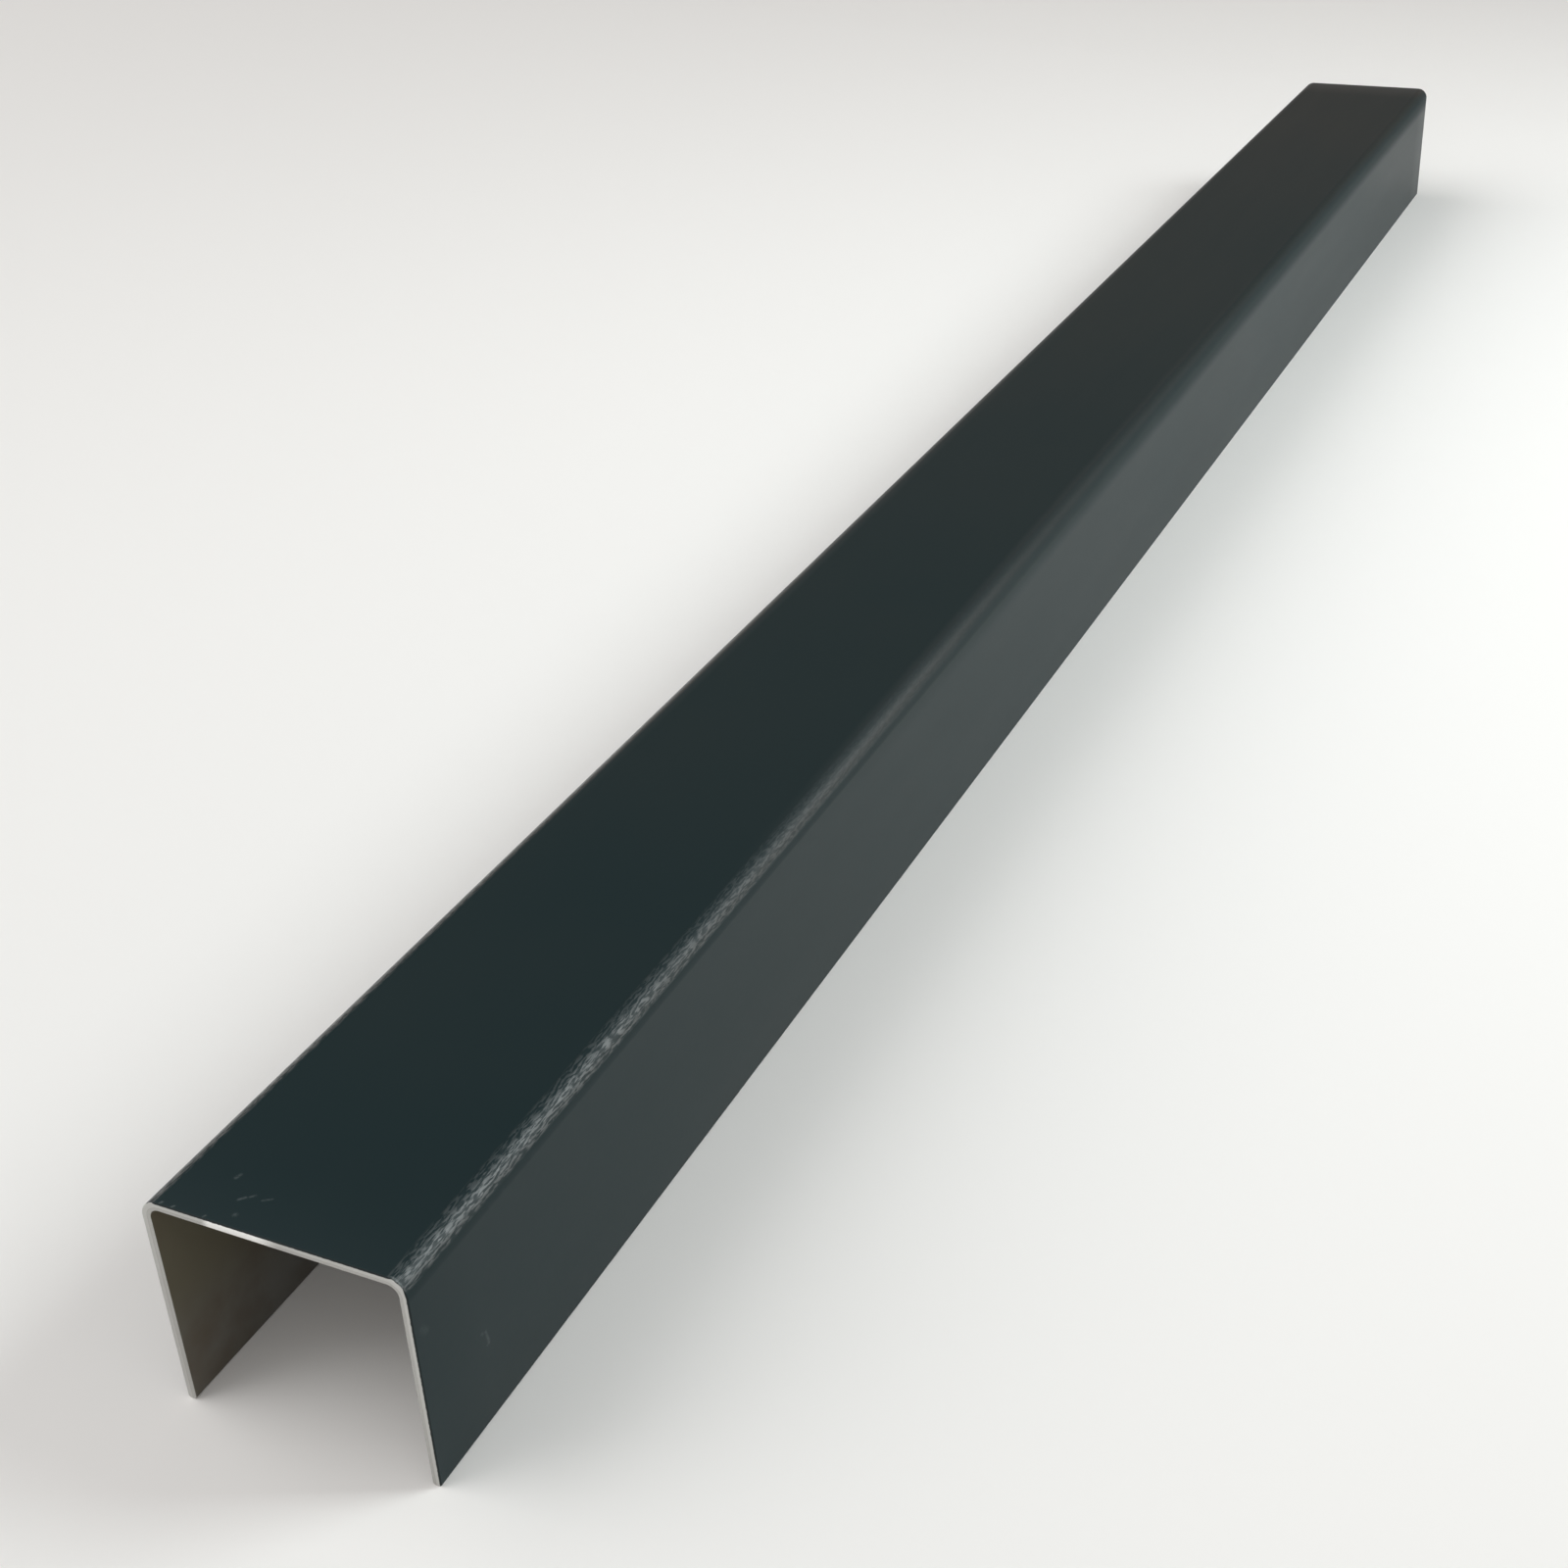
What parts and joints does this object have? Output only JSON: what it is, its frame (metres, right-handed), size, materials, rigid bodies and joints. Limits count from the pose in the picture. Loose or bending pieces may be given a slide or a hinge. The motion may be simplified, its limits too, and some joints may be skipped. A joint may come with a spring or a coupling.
{
  "type": "metal channel section",
  "caption": "Straight U-shaped channel of thin coated sheet metal with rounded folds and bare cut ends, for capping, edging or framing a board.",
  "frame": {"origin": "on the plane that the leg tips stand on, midway between the legs and midway along the length", "axes": "+Y along the length, +X across the web from one leg to the other, +Z from the leg tips up to the web"},
  "size_m": [0.03, 0.45, 0.026],
  "materials": {
    "coated_sheet": "satin"
  },
  "bodies": {
    "root": {"channel": "coated_sheet"}
  },
  "joints": []
}
